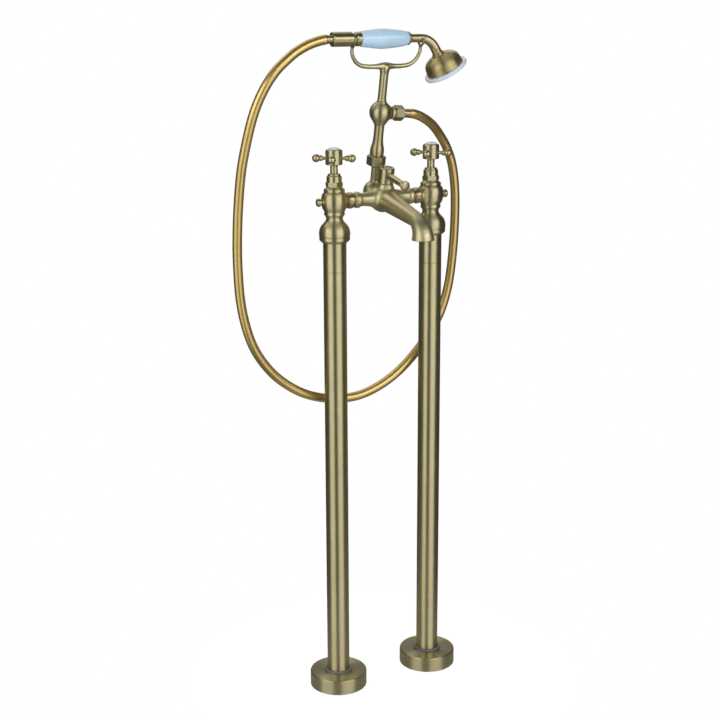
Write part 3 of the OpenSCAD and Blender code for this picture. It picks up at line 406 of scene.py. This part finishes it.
upright = (90.0, 90.0, 1600.0)      # grain marks to the metre along each axis
sideways = (1600.0, 90.0, 90.0)
coarse = (25.0, 25.0, 620.0)
even = (420.0, 420.0, 420.0)
tipped, swung = math.radians(bodyFrame["tilt"]), math.radians(roseTilt)
riserAxis = (0.0, -math.sin(tipped), math.cos(tipped))
roseAxis = (math.sin(swung), 0.0, -math.cos(swung))
# each look's dark colour is painted shade, laid into hollows and creases as strongly as the look's hollow
# amount says
brassLook = {
    "colour": (0.625, 0.555, 0.32), "dull": (0.545, 0.478, 0.268), "hollowShadeColour": (0.15, 0.13, 0.07),
    "grain": even, "tarnish": 0.7, "hollowShade": 0.35, "metallic": 1.0, "bump": 0.006, "edge": 0.4 * mm,
}
ceramicLook = {
    "grain": even, "tarnish": 0.6, "hollowShade": 0.5, "metallic": 0.0, "roughness": (0.14, 0.20), "bump": 0.0,
    "coat": 0.4, "edge": 0.4 * mm,
}
looks = {
    "brassUpright": {
        **brassLook, "grain": upright, "lathe": "Z", "roughness": (0.37, 0.44),
        "colour": (0.662, 0.588, 0.34), "dull": (0.573, 0.504, 0.283),
    },
    "brassCover": {
        **brassLook, "grain": coarse, "lathe": "Z", "roughness": (0.24, 0.54),
        "colour": (0.57, 0.503, 0.285), "dull": (0.47, 0.412, 0.228),
    },
    "brassSideways": {**brassLook, "grain": sideways, "lathe": "X", "roughness": (0.34, 0.40)},
    "brassRiser": {**brassLook, "lathe": riserAxis, "roughness": (0.36, 0.42)},
    "brassSmooth": {**brassLook, "roughness": (0.31, 0.37)},
    "brassCast": {
        **brassLook, "roughness": (0.40, 0.46), "colour": (0.68, 0.61, 0.36), "dull": (0.60, 0.53, 0.30),
    },
    "brassRose": {
        **brassLook, "lathe": roseAxis, "roughness": (0.44, 0.45), "colour": (0.60, 0.515, 0.255),
        "dull": (0.555, 0.475, 0.232), "tarnish": 0.4, "hollowShade": 0.2, "bump": 0.0,
    },
    "brassPlain": {
        **brassLook, "roughness": (0.28, 0.35), "colour": (0.70, 0.52, 0.24), "dull": (0.60, 0.43, 0.19),
    },
    "hoseGold": {
        "colour": (0.775, 0.562, 0.21), "dull": (0.735, 0.53, 0.192), "hollowShadeColour": (0.22, 0.12, 0.03), "grain": even,
        "tarnish": 0.3, "hollowShade": 0.0, "metallic": 1.0, "roughness": (0.36, 0.36),
        "bump": 0.0, "edge": 0.0,
    },
    "gripCeramic": {
        **ceramicLook, "colour": (0.55, 0.76, 0.95), "dull": (0.52, 0.73, 0.92), "hollowShadeColour": (0.36, 0.44, 0.50),
    },
    "whiteCeramic": {
        **ceramicLook, "colour": (0.70, 0.78, 0.92), "dull": (0.66, 0.75, 0.89), "hollowShadeColour": (0.42, 0.44, 0.46),
    },
    "discCeramic": {
        "colour": (0.74, 0.73, 0.70), "dull": (0.66, 0.65, 0.62), "hollowShadeColour": (0.4, 0.4, 0.38), "grain": even,
        "tarnish": 0.6, "hollowShade": 0.4, "metallic": 0.0, "roughness": (0.25, 0.35),
        "bump": 0.03, "edge": 0.2 * mm,
    },
    "steelGrey": {
        "colour": (0.56, 0.56, 0.55), "dull": (0.48, 0.48, 0.47), "hollowShadeColour": (0.16, 0.16, 0.16), "grain": even,
        "tarnish": 0.6, "hollowShade": 0.6, "metallic": 1.0, "roughness": (0.3, 0.4),
        "bump": 0.05, "edge": 0.2 * mm,
    },
    "rubberDark": {
        "colour": (0.17, 0.185, 0.175), "dull": (0.14, 0.15, 0.145), "hollowShadeColour": (0.06, 0.065, 0.06),
        "grain": even, "tarnish": 0.7, "hollowShade": 0.5, "metallic": 0.0, "roughness": (0.5, 0.62),
        "bump": 0.08, "edge": 0.3 * mm,
    },
}
materials = {name: finishMaterial(name, look) for name, look in looks.items()}
print("materials:", len(materials))

wornBy = {
    "brassSideways": ("handset_hose_nut", "handset_ferrule", "grip_tail_ring", "grip_front_ring",
                      "handset_tube", "outlet_hose_nut", "outlet_ferrule", "union_collar", "side_finial"),
    "brassSmooth": ("handset_neck", "handle_arms", "diverter_lever", "diverter_knob", "cradle"),
    "brassRiser": ("riser_tube",),
    "brassCover": ("floor_cover",),
    "brassCast": ("mixer_body",),
    "brassRose": ("rose_bell",),
    "brassPlain": ("supply_pipe", "handle_screw", "floor_plate"),
    "gripCeramic": ("ceramic_grip",),
    "whiteCeramic": ("rose_rim", "index_cap"),
    "discCeramic": ("fixed_disc", "moving_disc"),
    "steelGrey": ("rose_faceplate", "spout_aerator"),
    "rubberDark": ("cover_ring", "riser_washer", "outlet_washer"),
}


def finishOf(node):
    for name, ends in wornBy.items():
        if any(node.endswith(end) for end in ends):
            return materials[name]
    return materials["brassUpright"]


def dress(piece, material):
    piece.data.materials.clear()
    piece.data.materials.append(material)


for name, node in nodes.items():
    dress(node, finishOf(name))
dress(hose, materials["hoseGold"])
for name, piece in castPieces.items():
    dress(piece, finishOf(name))

studio = {
    "surround": 0.065,
    "backdrop": 1.0,
    "backdropEdge": (0.88, 0.97),   # cosine of the angle from the middle of the backdrop
    "table": 0.11,
    "tableEdge": (0.35, 0.7),
    "fill": 0.30,
    "aimHeight": 1.0,       # no lamp looks at a point above this
    "floorReach": 0.32,
    "floorCorners": 64,
    "floorTone": 0.8,
    "floorRoughness": 0.9,
    "floorSheet": 0.2,      # the floor is a thin clear sheet that holds the shadow
    "floorLift": 0.66,
}
strips = {      # turn from the camera in degrees, distance, width, height, middle height, brightness
    "leftLow": (-45.0, 2.0, 1.8, 2.1, 0.05, 0.95),
    "leftHigh": (-46.0, 2.0, 1.8, 0.9, 1.55, 2.2),
    "rightLow": (37.0, 2.0, 1.9, 2.1, 0.05, 0.95),
    "rightHigh": (46.0, 2.0, 2.0, 0.9, 1.55, 2.4),
    "backHigh": (-125.0, 1.6, 1.6, 1.0, 2.6, 1.3),
    "frontTop": (12.0, 2.0, 0.9, 0.9, 2.0, 0.9),
    "behindHigh": (180.0, 2.0, 1.6, 0.7, 2.4, 1.2),
    "overhead": (-160.0, 0.5, 1.4, 1.0, 2.7, 0.7),
}


def addStrip(name, turn, away, width, height, middle, level):
    right, _, forward = cameraAxes(cameraView)
    toCamera = Vector((-forward.x, -forward.y, 0)).normalized()
    aside = Vector((right.x, right.y, 0)).normalized()
    turn = math.radians(turn)
    way = toCamera * math.cos(turn) + aside * math.sin(turn)
    lamp = bpy.data.lights.new(name, "AREA")
    lamp.shape = "RECTANGLE"
    lamp.size, lamp.size_y = width, height
    lamp.energy = level * math.pi * width * height
    strip = bpy.data.objects.new(name, lamp)
    bpy.context.scene.collection.objects.link(strip)
    strip.location = way * away + Vector((0, 0, middle))
    aim = Vector((0, 0, min(middle, studio["aimHeight"]))) - strip.location
    strip.rotation_euler = aim.to_track_quat("-Z", "Y").to_euler()


def facingMask(tree, way, edges):
    place = tree.nodes.new("ShaderNodeTexCoord")
    match = tree.nodes.new("ShaderNodeVectorMath")
    match.operation = "DOT_PRODUCT"
    match.inputs[1].default_value = Vector(way).normalized()
    tree.links.new(place.outputs["Generated"], match.inputs[0])
    mask = tree.nodes.new("ShaderNodeMapRange")
    mask.interpolation_type = "SMOOTHSTEP"
    mask.inputs["From Min"].default_value, mask.inputs["From Max"].default_value = edges
    tree.links.new(match.outputs["Value"], mask.inputs["Value"])
    return mask.outputs[0]


def anyRay(tree, ray, first, *others):
    total = ray.outputs["Is " + first + " Ray"]
    for kind in others:
        node = tree.nodes.new("ShaderNodeMath")
        node.use_clamp = True
        tree.links.new(total, node.inputs[0])
        tree.links.new(ray.outputs["Is " + kind + " Ray"], node.inputs[1])
        total = node.outputs[0]
    return total


def addWorld():
    world = bpy.data.worlds.new("studio")
    bpy.context.scene.world = world
    world.use_nodes = True
    tree = world.node_tree
    light = tree.nodes["Background"]
    ray = tree.nodes.new("ShaderNodeLightPath")
    forward = cameraAxes(cameraView)[2]
    behind = facingMask(tree, (forward.x, forward.y, 0), studio["backdropEdge"])
    below = facingMask(tree, (0, 0, -1), studio["tableEdge"])
    glossy = mixColour(tree, below, (studio["surround"],) * 3, (studio["table"],) * 3)
    glossy = mixColour(tree, behind, glossy, (studio["backdrop"],) * 3)
    tone = mixColour(tree, ray.outputs["Is Glossy Ray"], (studio["fill"],) * 3, glossy)
    tone = mixColour(tree, anyRay(tree, ray, "Camera", "Transmission"), tone, (1.0, 1.0, 1.0))
    tree.links.new(tone, light.inputs["Color"])
    light.inputs["Strength"].default_value = 1.0


def addFloor():
    reach, corners = studio["floorReach"], studio["floorCorners"]
    turns = [2 * math.pi * k / corners for k in range(corners)]
    rim = [(reach * math.cos(turn), reach * math.sin(turn), 0) for turn in turns]
    floor = newMesh("studioFloor", rim, [tuple(range(corners))])
    material = bpy.data.materials.new("paleFloor")
    material.use_nodes = True
    tree = material.node_tree
    shader = tree.nodes["Principled BSDF"]
    shader.inputs["Base Color"].default_value = (*(studio["floorTone"],) * 3, 1)
    shader.inputs["Alpha"].default_value = studio["floorSheet"]
    shader.inputs["Roughness"].default_value = studio["floorRoughness"]
    shader.inputs["Emission Color"].default_value = (1, 1, 1, 1)
    ray = tree.nodes.new("ShaderNodeLightPath")
    lift = rangeOf(tree, anyRay(tree, ray, "Camera", "Glossy", "Transmission"), 0.0, studio["floorLift"])
    tree.links.new(lift, shader.inputs["Emission Strength"])
    dress(floor, material)


for name, strip in strips.items():
    addStrip(name, *strip)
addWorld()
addFloor()
bpy.context.scene.view_settings.view_transform = "Standard"
print("studio: ready")
